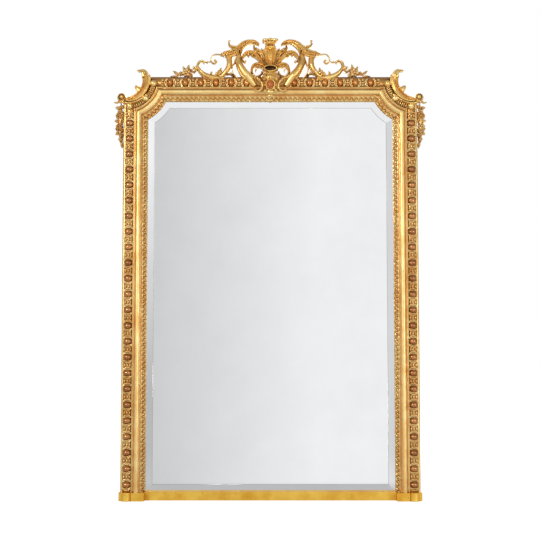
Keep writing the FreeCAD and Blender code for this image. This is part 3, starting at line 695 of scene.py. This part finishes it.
# Dark gilding for the cup's hollow: painted shade
hollow_gold = gilding("hollow_gold", (112, 74, 42), (66, 42, 24), 0.0, 0.5)
foot_gold = gilding("foot_gold", (252, 206, 88), (234, 174, 54), 0.03, 0.4)
carcass_wood = wood("carcass_wood", (178, 134, 84), (138, 96, 56))
batten_wood = wood("batten_wood", (176, 132, 84), (134, 94, 56), along_x=True)
board_wood = wood("board_wood", (168, 126, 82), (122, 86, 52))
dark_iron = iron("dark_iron", (88, 76, 66), (48, 42, 38), (108, 66, 40))
screw_steel = iron("screw_steel", (148, 138, 124), (104, 96, 88), (120, 84, 56))
plate_silver = silvering("plate_silver")
# A darker silver for the line at the bevel's edge: painted shade
bevel_silver = silvering("bevel_silver", (196, 196, 197), (178, 178, 180))
cabochon_bole = burnished_bole("cabochon_bole")
pad_felt = felt("pad_felt")


def finish_of(node):
    """The material of a CAD node that shows."""
    if node in ("carcass_top_rail", "carcass_bottom_rail", "hanging_batten"):
        return batten_wood
    if node.startswith("carcass") or node == "glazing_blocks":
        return carcass_wood
    if node.endswith("screws"):
        return screw_steel
    if node.startswith("backboard"):
        return board_wood
    if node.startswith(("strap_hanger", "hanging_ring", "crest_brackets")):
        return dark_iron
    if node == "setting_pads":
        return pad_felt
    if node == "mirror_plate":
        return plate_silver
    if node == "crest_cabochon":
        return cabochon_bole
    if node.startswith("plinth"):
        return foot_gold
    if node == "outer_moulding_top":
        return top_gold
    return moulding_gold


for name, obj in nodes.items():
    for slot_place in obj.material_slots:
        slot_place.material = finish_of(name)


# ---------------------------------------------------------------- the mouldings' pieces

def both_hands(carving, name, node, material, slot):
    """Place a right-hand carving and its mirror image, which may stand for a pair of CAD nodes."""
    for side, handed in (("_right", carving), ("_left", carving.mirrored())):
        handed.piece(name + side, slot, material, [node + side] if node else [])


for place, suffix in (("stile", ""), ("corner", "_corner")):
    both_hands(frame_run(place, carving_step, sight_section(), leaf_cut), "carved_sight_moulding" + suffix,
               "sight_moulding" + suffix, moulding_gold, "moulding_gilding")
frame_run("top", carving_step, sight_section(), leaf_cut).piece(
    "carved_sight_moulding_top", "moulding_gilding", moulding_gold, ["sight_moulding_top"])


def flat_strip(inner_reach, outer_reach, depth, proud):
    """The section of a narrow strip that colours a flat band: 1 mm sunk in it, and a little proud of it."""
    sunk = depth - 1
    top = depth + proud
    return [(inner_reach, sunk), (inner_reach, top), (outer_reach, top), (outer_reach, sunk)]


band_ground = flat_strip(band_inner_reach, band_outer_reach, ground_depth, 0.5)
torus_fillet = flat_strip(fillet_inner_reach, fillet_outer_reach, fillet_depth, 0.4)
sight_cove = [(15.2, 54.6), (15.2, 55.5), (18.0, 56.5), (21.2, 59.5), (21.2, 58.6)]
for name, section, material, slot in (("band_ground", band_ground, ground_gold, "egg_gilding"),
                                      ("sight_cove", sight_cove, bole_line_gold, "moulding_gilding"),
                                      ("torus_fillet", torus_fillet, ruddy_gold, "moulding_gilding")):
    for place in ("stile", "corner"):
        both_hands(frame_run(place, curved_strip_step, section), name + "_" + place, None, material, slot)
    frame_run("top", straight_strip_step, section).piece(name + "_top", slot, material, [])

egg_ball = ball(15.6, 11.0, 12.5, 63.5, skirt=6.0, rings=8, segments=24)
egg_rims = egg_shells()
waist = reeds(3, 10.0, 7.8, 8.6, 66.0)
quarter = math.pi / 2
radial_flutes = Carving()
radial_flutes.add(reeds(5, 8.0, 15.0, 6.6, 68.0), quarter)
pearl = ball(15.0, 13.5, 16.0, 61.0, skirt=4.0, rings=9, segments=26)

stile_x = sight_half_width + egg_reach
stile_eggs = [(stile_x, first_egg_height + index * egg_pitch, 0.0) for index in range(egg_count)]
stile_waists = [(stile_x, first_egg_height + (index + 0.5) * egg_pitch, 0.0) for index in range(egg_count)]
top_z = sight_top + egg_reach
top_eggs = [(side * (top_egg_start + index * top_egg_pitch), top_z, quarter)
            for side in (-1, 1) for index in range(top_egg_count)]
top_waists = [(side * (top_egg_start + (index + 0.5) * top_egg_pitch), top_z, quarter)
              for side in (-1, 1) for index in range(top_egg_count)]
egg_circle = corner_radius - egg_reach + corner_band_shift


def corner_spots(angles):
    """Places along the scoop's egg-and-dart band, each turned to the scoop's centre."""
    return [(*round_corner(angle, egg_circle), -math.radians(angle) - quarter) for angle in angles]


both_hands(scatter(egg_ball, stile_eggs), "carved_egg_balls", "egg_and_dart", bole_gold, "egg_gilding")
stile_band = scatter(egg_rims, stile_eggs)
stile_band.add(scatter(waist, stile_waists))
# One more rim stands over the last waist, where the mitre leaves no room for an egg
last_arc = (90 - shell_half_angle, 90 + shell_half_angle)
stile_band.add(ring(shell_half_width, 9.0, 2.1, 61.5, last_arc, 16), x=stile_x, z=stile_waists[-1][1] + 4)
both_hands(stile_band, "carved_eggs", "egg_and_dart", egg_gold, "egg_gilding")
# The top eggs' lighter, more orange colour is painted light
scatter(egg_ball, top_eggs).piece("carved_egg_balls_top", "egg_gilding", amber_gold, ["egg_and_dart_top"])
top_band = scatter(egg_rims, top_eggs)
top_band.add(scatter(waist, top_waists))
top_band.piece("carved_eggs_top", "egg_gilding", egg_gold, ["egg_and_dart_top"])
for unit, angles, name in ((pearl, pearl_angles, "carved_pearls_corner"),
                           (radial_flutes, flute_angles, "carved_eggs_corner")):
    both_hands(scatter(unit, corner_spots(angles)), name, "egg_and_dart_corner", pearl_gold, "egg_gilding")


def bevel_edge():
    """The fine line where the plate's bevel meets its flat, round the right half, in a darker silver: a
    painted shade line.
    """
    path = [(0, foot_height + bevel_width), (sight_half_width - bevel_width, foot_height + bevel_width)]
    path += [on_corner(share, -bevel_width)[:2] for share in np.linspace(0, 1, 24)]
    path.append((0, sight_top - bevel_width))
    centre_z = (foot_height + sight_top) / 2
    behind, before = plate_front_depth - 0.1, plate_front_depth + 0.1
    rows = []
    for x, z in path:
        x_in = x * (1 - bevel_line / sight_half_width)
        z_in = z + (centre_z - z) * bevel_line / centre_z
        rows.append([(x, behind, z), (x, before, z), (x_in, before, z_in), (x_in, behind, z_in)])
    line = Carving()
    line.grid(rows, close_columns=True)
    return line


both_hands(bevel_edge(), "bevel_edge", None, bevel_silver, "silvered_plate")


# ---------------------------------------------------------------- crest

# The members of its right half, each as a line of (x, height above the frame, width)
arm = [(58, -38, 30), (71, -20, 37), (86, -1, 37), (100, 15, 34), (112, 35, 30), (120, 55, 27),
       (123, 73, 23), (119, 92, 18), (119, 109, 13)]
over_arch = [(192, 91, 5), (174, 94, 20), (155, 95, 26), (135, 103, 27), (118, 117, 26), (103, 132, 23),
             (86, 142, 19), (67, 145, 16), (51, 139, 13), (42, 131, 5)]
hook = [(122, 121, 12), (135, 123, 11), (149, 126, 10), (157, 133, 8), (159, 141, 7)]
neck = [(92, 13, 10), (76, 8, 10), (55, 0, 9), (39, 6, 8), (31, 18, 10), (34, 24, 6)]
stem = [(118, 88, 8), (133, 71, 8), (138, 55, 6), (144, 42, 7), (143, 20, 7), (135, 4, 8), (123, -8, 8),
        (110, -14, 9), (100, -9, 6)]
strap = [(159, 84, 24), (156, 63, 22), (159, 42, 22), (169, 24, 20), (183, 8, 19), (202, -2, 19)]
wing_scroll = [(178, -4, 12), (206, -5, 23), (231, -2, 25), (252, 8, 21), (267, 22, 16), (276, 36, 14),
               (277, 50, 12), (271, 62, 11), (261, 67, 9), (254, 63, 6)]
wing_tip = [(210, -2, 24), (198, 12, 24), (191, 26, 15), (188, 40, 3)]
tendril = [(189, 94, 4), (208, 95, 4), (219, 90, 4), (226, 80, 5), (227, 68, 6), (220, 59, 7), (211, 59, 7),
           (206, 66, 6), (211, 71, 5)]
tendril_link = [(254, 62, 4), (240, 62, 4), (225, 67, 4)]
cross_bar = [(153, 51, 6), (138, 53, 6)]
frill = [(185, 7, 8), (170, 11, 8), (154, 13, 8), (145, 7, 8), (143, -3, 8)]
bell = [(0, 42, 28), (0, 66, 31), (0, 90, 36), (0, 106, 44), (0, 118, 46)]
bell_leaf = [(17, 44, 9), (19, 70, 11), (23, 92, 13), (30, 108, 11), (35, 117, 4)]
collar = [(0, 110, 36), (0, 117, 42), (0, 124, 41), (0, 130, 36)]
capital = [(0, 126, 35), (0, 136, 39), (0, 145, 49), (0, 152, 54)]
upright_leaf = [(14, 45, 13), (22, 67, 18), (35, 88, 23), (48, 103, 21), (58, 112, 14), (62, 121, 9),
                (62, 128, 6)]
arching_leaf = [(24, 45, 10), (37, 69, 18), (53, 86, 20), (70, 97, 19), (87, 98, 17), (100, 88, 14),
                (107, 75, 11), (105, 66, 8), (97, 62, 6)]
lower_leaf = [(21, 34, 12), (34, 45, 18), (49, 48, 19), (63, 44, 15), (70, 31, 11), (71, 18, 10),
              (65, 9, 7)]
shield_ground = [(0, 18, 40), (0, 4, 60), (0, -12, 66), (0, -30, 54), (0, -46, 52), (0, -58, 54),
                 (0, -66, 36), (0, -73, 12)]
shield_rim = [(58, -8, 5), (49, -14, 8), (38, -25, 9), (31, -38, 9), (31, -50, 9), (38, -59, 9),
              (49, -63, 8), (57, -60, 6)]
back = crest_back_depth


def carved(parts):
    """Members joined as one carving: (line, front, style, ribs, lobes)."""
    group = Carving()
    for line, front, style, ribs, lobes in parts:
        group.add(member(above_frame(line), back, front, style, ribs, lobes))
    return group


def knob(x, z, radius, front):
    """A small round end, given above the frame."""
    return ball(radius, radius, radius, front, x, lifted(z), skirt=front - back)


def add_knobs(carving, knobs):
    """Small round ends at (x, height above the frame, radius, front)."""
    for x, z, radius, front in knobs:
        carving.add(knob(x, z, radius, front))


def add_leaflets(carving, leaflets, back, front, x_start=0.0, z_start=frame_height, stretch=1.0):
    """Small leaves at (x, z, angle, length, width), measured from a starting place."""
    for x, z, angle, length, width in leaflets:
        carving.add(leaflet(x_start + x, z_start + z * stretch, angle, length, width, back, front))


scroll = carved([(arm, 84, "band", 3, 0), (over_arch, 78, "flute", 3, 0), (hook, 64, "band", 3, 0),
                 (neck, 70, "flute", 2, 0), (stem, 66, "stem", 3, 0)])
scroll_beads = [(176 - index * 9.5, 86 + 0.9 * index + 0.45 * index ** 2, 3.4, 74) for index in range(7)]
add_knobs(scroll, [(157, 146, 4.6, 56), (99, -8, 4.5, 48)] + scroll_beads)
add_leaflets(scroll, [(122, 84, 62, 30, 15)], 60, 88)
add_leaflets(scroll, [(112, 88, 100, 26, 11)], 60, 86)
both_hands(scroll, "carved_crest_scroll", "crest_scroll", carved_gold, "carved_gilding")

wing = carved([(wing_scroll, 72, "band", 3, 0), (strap, 66, "band", 3, 0), (wing_tip, 66, "flute", 2, 3),
               (tendril, 56, "stem", 3, 0), (tendril_link, 52, "stem", 3, 0), (cross_bar, 54, "stem", 3, 0),
               (frill, 60, "flute", 2, 3)])
add_knobs(wing, [(253, 60, 5.0, 58), (212, 70, 4.2, 50), (241, 62, 4.0, 50), (293, 38, 4.6, 56),
                 (284, 36, 6.0, 62), (152, 15, 4.0, 58)])
add_leaflets(wing, [(228, 6, 118, 15, 9), (279, 33, -62, 24, 9), (232, -8, 205, 24, 10),
                    (204, -10, 180, 28, 11), (203, 4, 128, 26, 10)], 56, 74)
both_hands(wing, "carved_crest_wing", "crest_wing", carved_gold, "carved_gilding")

right_leaves = carved([(upright_leaf, 80, "flute", 3, 0), (arching_leaf, 74, "flute", 3, 0),
                       (lower_leaf, 78, "flute", 2, 0), (bell_leaf, 82, "flute", 2, 0)])
add_knobs(right_leaves, [(62, 131, 4.6, 62), (96, 62, 4.6, 58), (64, 7, 4.8, 58), (55, 27, 4.0, 60)])
add_leaflets(right_leaves, [(44, 96, 62, 24, 10), (88, 96, 250, 20, 9), (74, 92, 236, 18, 9),
                            (30, 66, 75, 24, 9), (56, 46, 230, 18, 9), (24, 22, 60, 22, 9)],
             56, 80, stretch=crest_stretch)
palmette = carved([(bell, 84, "flute", 3, 0), (collar, 84, "flute", 5, 0), (capital, 86, "flute", 4, 0)])
palmette.add(right_leaves)
palmette.add(right_leaves.mirrored())
for x, z in ((-19, 146), (0, 148), (19, 146)):
    palmette.add(ball(12, 6, 9, 74, x, lifted(z), skirt=38))

cup_z = frame_height + 27
cup_front_depth = 84.0
cup_wall = [(25.5, 12.5, 60), (25.5, 12.5, cup_front_depth), (22.0, 9.0, cup_front_depth), (22.0, 9.0, 68)]
palmette.add(ring(24.0, 11.0, 2.5, cup_front_depth), z=cup_z)
palmette.add(ball(27, 14, 1, 66, 0, cup_z, skirt=30))
cup = Carving()
cup.grid([[(wide * math.cos(turn), depth, cup_z + high * math.sin(turn))
           for turn in np.linspace(0, 2 * math.pi, 32, endpoint=False)] for wide, high, depth in cup_wall],
         close_rows=True, close_columns=True)
palmette.add(cup)
palmette.piece("carved_palmette", "carved_gilding", carved_gold, ["crest_palmette"])
# The cup's hollow is gilded dark: painted shade
hollow = ball(21.9, 8.9, -14, cup_front_depth - 1, 0, cup_z, skirt=15)
hollow.piece("cup_hollow", "carved_gilding", hollow_gold, ["crest_palmette"])

rim_back_depth = 76.0
rim_front_depth = 97.0
cartouche = Carving()
cartouche.add(member(above_frame(shield_ground), ground_depth, 84, "stem"))
half_rim = member(above_frame(shield_rim), rim_back_depth, rim_front_depth, "band", tip=(0.9, 0.9))
for x, z in ((57, -9), (56, -59)):
    half_rim.add(ball(5.5, 5.5, 7, 86, x, frame_height + z, skirt=12))
add_leaflets(half_rim, [(13, -22, 38, 24, 13), (16, -40, 8, 15, 9), (13, -56, -32, 20, 12),
                        (14, 0, 62, 20, 10)], rim_back_depth, rim_front_depth)
for index in range(5):
    bead_x = 38 - 3.2 * index + 0.75 * index ** 2
    half_rim.add(ball(2.6, 2.6, 3, 92, bead_x, frame_height - 22 - 9.5 * index, skirt=8))
cartouche.add(half_rim)
cartouche.add(half_rim.mirrored())
cartouche.add(ring(16.5, 19.0, 2.2, 95.0), z=frame_height - 39)
add_leaflets(cartouche, [(0, -20, 90, 26, 19)], rim_back_depth, 99)
add_leaflets(cartouche, [(0, -54, -90, 20, 24)], rim_back_depth, 92)
add_leaflets(cartouche, [(0, -70, -90, 10, 16)], 56, 66)
cartouche.add(ball(4, 4, 4, 55, 0, sight_top + 11, skirt=8))
cartouche.piece("carved_cartouche", "carved_gilding", carved_gold, ["crest_cartouche"])

spray = Carving()
for x, z, radius, front in ((322, 17, 17, 64), (344, 14, 9, 56), (304, 8, 9, 56), (314, 35, 8, 54),
                            (303, 27, 7, 50), (330, 33, 6, 50), (358, 2, 6, 48)):
    spray.add(posy(x, frame_height + z, radius, back, front, turn=17.0 * radius))
add_leaflets(spray, [(350, 8, 38, 30, 10), (350, 0, 8, 34, 10), (336, -4, -6, 36, 9), (330, 30, 70, 15, 8),
                     (314, 36, 100, 16, 8), (306, 8, -92, 22, 10), (302, 24, 200, 18, 8),
                     (318, 2, -120, 18, 9)], back, 56)
both_hands(spray, "carved_spray", "crest_spray", leafy_gold, "carved_gilding")


# ---------------------------------------------------------------- corner mounts and garlands

crescent = from_corner([(2, -82, 10), (-18, -80, 16), (-39, -72, 21), (-56, -59, 24), (-69, -41, 25),
                        (-77, -19, 27), (-79, 0, 31), (-76, 13, 30)])
top_curl = from_corner([(-78, -4, 30), (-74, 12, 28), (-69, 25, 20), (-58, 31, 13), (-49, 30, 9),
                        (-43, 34, 4)])
lower_rim = from_corner([(18, -84, 7), (8, -92, 8), (-10, -96, 9), (-35, -92, 9), (-58, -80, 10),
                         (-78, -66, 12)])
inner_rim = from_corner([(-62, 8, 4), (-66, -10, 5), (-60, -36, 5), (-47, -54, 5), (-26, -68, 5),
                         (-4, -74, 4)])
tab = from_corner([(-62, -54, 26), (-52, -44, 25), (-43, -35, 19), (-36, -27, 8)])
lower_hook = from_corner([(22, -84, 10), (34, -92, 7), (45, -90, 4)])
volute_x = corner_x + 16
volute_z = corner_z - 73
volute_line = spiral(volute_x, volute_z, 14.5, 10.0, 215, -0.85, 9)
corner_mount = Carving()
corner_mount.add(member(crescent, ground_depth, 80, "flute", ribs=2))
corner_mount.add(member(top_curl, ground_depth, 76, "flute", ribs=2, lobes=2))
corner_mount.add(member(lower_rim, ground_depth, 82))
corner_mount.add(member(inner_rim, ground_depth, 82))
corner_mount.add(member(tab, ground_depth, 72, "band", tip=(0.9, 0.7)))
corner_mount.add(member(lower_hook, ground_depth, 68))
corner_mount.add(member(volute_line, ground_depth - 22, 82, tip=(0.9, 0.9)))
corner_mount.add(ball(17, 16, 5, 64, volute_x, volute_z, skirt=24))
corner_mount.add(ball(9, 9, 10, 76, volute_x - 1, volute_z + 1, skirt=14))
for x, z, radius in ((-79, -65, 6.5), (20, -90, 5.0)):
    corner_mount.add(ball(radius, radius, radius, 72, corner_x + x, corner_z + z, skirt=14))
both_hands(corner_mount, "carved_corner_scroll", "corner_scroll", carved_gold, "carved_gilding")

garland = Carving()
for x, z, radius, front in ((13, -138, 12, 62), (20, -150, 11, 66), (8, -154, 9, 62), (16, -190, 13, 66),
                            (9, -204, 9, 60), (24, -200, 8, 58), (10, -222, 9, 58), (14, -238, 7, 52)):
    garland.add(posy(frame_half_width + x, frame_height + z, radius, garland_back_depth, front,
                     turn=23.0 * radius))
add_leaflets(garland, [(14, -122, 20, 20, 12), (10, -124, 60, 16, 11), (12, -118, 140, 16, 12),
                       (16, -170, 5, 20, 11), (10, -172, 110, 18, 11), (6, -170, 190, 16, 10),
                       (18, -212, -35, 16, 10), (10, -232, -80, 20, 12), (7, -248, -92, 26, 10),
                       (12, -126, -70, 16, 12), (14, -176, -60, 14, 10)],
             garland_back_depth, 62, x_start=frame_half_width)
garland_stalk = beside_frame([(11, -100, 5), (12, -118, 10), (14, -142, 22), (13, -170, 16),
                              (15, -198, 22), (11, -230, 14), (8, -262, 5)])
garland.add(member(garland_stalk, garland_back_depth, 48))
both_hands(garland, "carved_garland", "garland", leafy_gold, "carved_gilding")


# ---------------------------------------------------------------- studio

def plane(name, width, height, location, turn, material):
    """A flat stage surface."""
    mesh = bpy.data.meshes.new(name)
    half_width, half_height = width / 2, height / 2
    mesh.from_pydata([(-half_width, -half_height, 0), (half_width, -half_height, 0),
                      (half_width, half_height, 0), (-half_width, half_height, 0)], [], [(0, 1, 2, 3)])
    mesh.materials.append(material)
    obj = bpy.data.objects.new(name, mesh)
    obj.location = location
    obj.rotation_euler = turn
    bpy.context.scene.collection.objects.link(obj)
    return obj


def grey(value):
    """A plain grey for a shader."""
    return (value, value, value, 1.0)


def reflected_grey(room):
    """The soft greys that the plate shows, by the place in the room that its mirrored rays reach.

    The flat of the plate shows the middle, and its bevels show the sides, the top and the near floor.
    """
    axes = room.axes(room.geometry("Position"))
    spreading = room.math("MULTIPLY", axes["Y"], -0.25)
    angle = room.math("DIVIDE", axes["X"], room.math("ADD", spreading, 1.0))
    middle = room.spread(angle, -0.46, 0.17, 0.67, 0.97)
    near = room.spread(axes["Y"], -0.6, -0.35)
    left = room.spread(room.math("ADD", axes["X"], spreading), -0.62, -0.4, 1.0, 0.0)
    left_grey = room.spread(axes["Z"], 0.2, 2.6, 0.55, 1.0)
    right = room.spread(room.math("SUBTRACT", axes["X"], spreading), 0.4, 0.62)
    top = room.spread(axes["Z"], 3.0, 3.6)
    colour = room.mix(near, middle, grey(0.56))
    colour = room.mix(left, colour, left_grey)
    colour = room.mix(right, colour, (0.74, 0.74, 0.75, 1.0))
    return room.mix(top, colour, grey(0.95))


def card_material():
    """The studio wall behind the camera, seen only in reflections."""
    room = Nodes("studio_card")
    return room.finish(room.new("Emission", Color=reflected_grey(room)))


def floor_material():
    """A pale floor: near white to the camera, and the studio wall's grey where the plate shows it."""
    room = Nodes("pale_floor")
    path = room.tree.nodes.new("ShaderNodeLightPath")
    seen = room.math("MAXIMUM", path.outputs["Is Camera Ray"], path.outputs["Is Transmission Ray"])
    cloth = room.new("BsdfDiffuse", Color=grey(0.5))
    glow = room.new("Emission", Strength=room.math("MULTIPLY", seen, 0.86))
    bright = room.new("AddShader")
    room.tree.links.new(cloth.outputs[0], bright.inputs[0])
    room.tree.links.new(glow.outputs[0], bright.inputs[1])
    mirrored_floor = room.new("Emission", Color=reflected_grey(room))
    both = room.new("MixShader", Fac=path.outputs["Is Glossy Ray"])
    room.tree.links.new(bright.outputs[0], both.inputs[1])
    room.tree.links.new(mirrored_floor.outputs[0], both.inputs[2])
    return room.finish(both)


plane("floor", 60, 60, (0, 0, 0), (0, 0, 0), floor_material())
card = plane("studio_wall", 11, 6, (0, -6.5, 3.0), (math.radians(90), 0, 0), card_material())
card.visible_camera = False

world = bpy.data.worlds.new("studio")
bpy.context.scene.world = world
world.use_nodes = True
tree = world.node_tree
tree.nodes.clear()
path = tree.nodes.new("ShaderNodeLightPath")
room_light = tree.nodes.new("ShaderNodeBackground")
room_light.inputs["Color"].default_value = (0.42, 0.42, 0.43, 1.0)
white = tree.nodes.new("ShaderNodeBackground")
white.inputs["Color"].default_value = grey(1.0)
choice = tree.nodes.new("ShaderNodeMixShader")
sky = tree.nodes.new("ShaderNodeOutputWorld")
tree.links.new(path.outputs["Is Camera Ray"], choice.inputs["Fac"])
tree.links.new(room_light.outputs[0], choice.inputs[1])
tree.links.new(white.outputs[0], choice.inputs[2])
tree.links.new(choice.outputs[0], sky.inputs["Surface"])


def aim_at(obj, target):
    """Turn a lamp or a camera to a point."""
    direction = Vector(target) - obj.location
    obj.rotation_euler = direction.to_track_quat("-Z", "Y").to_euler()


def soft_lamp(name, location, target, size, power):
    """A square soft lamp aimed at a point."""
    light = bpy.data.lights.new(name, "AREA")
    light.size = size
    light.energy = power
    obj = bpy.data.objects.new(name, light)
    obj.location = location
    aim_at(obj, target)
    bpy.context.scene.collection.objects.link(obj)


soft_lamp("key", location=(-2.3, -3.4, 1.9), target=(0, 0, 1.0), size=0.9, power=55)
soft_lamp("fill", location=(2.6, -3.6, 0.9), target=(0, 0, 0.9), size=1.3, power=30)
soft_lamp("back_fill", location=(0.6, 3.6, 2.4), target=(0, 0, 0.9), size=2.0, power=60)

camera_data = bpy.data.cameras.new("camera")
camera_data.sensor_width = 36.0
camera_data.lens = 74.6
camera = bpy.data.objects.new("camera", camera_data)
camera.location = (-0.0015, -4.267, 0.560)
aim_at(camera, (-0.0015, -0.078, 0.8585))
bpy.context.scene.collection.objects.link(camera)
bpy.context.scene.camera = camera
bpy.context.scene.view_settings.view_transform = "Standard"
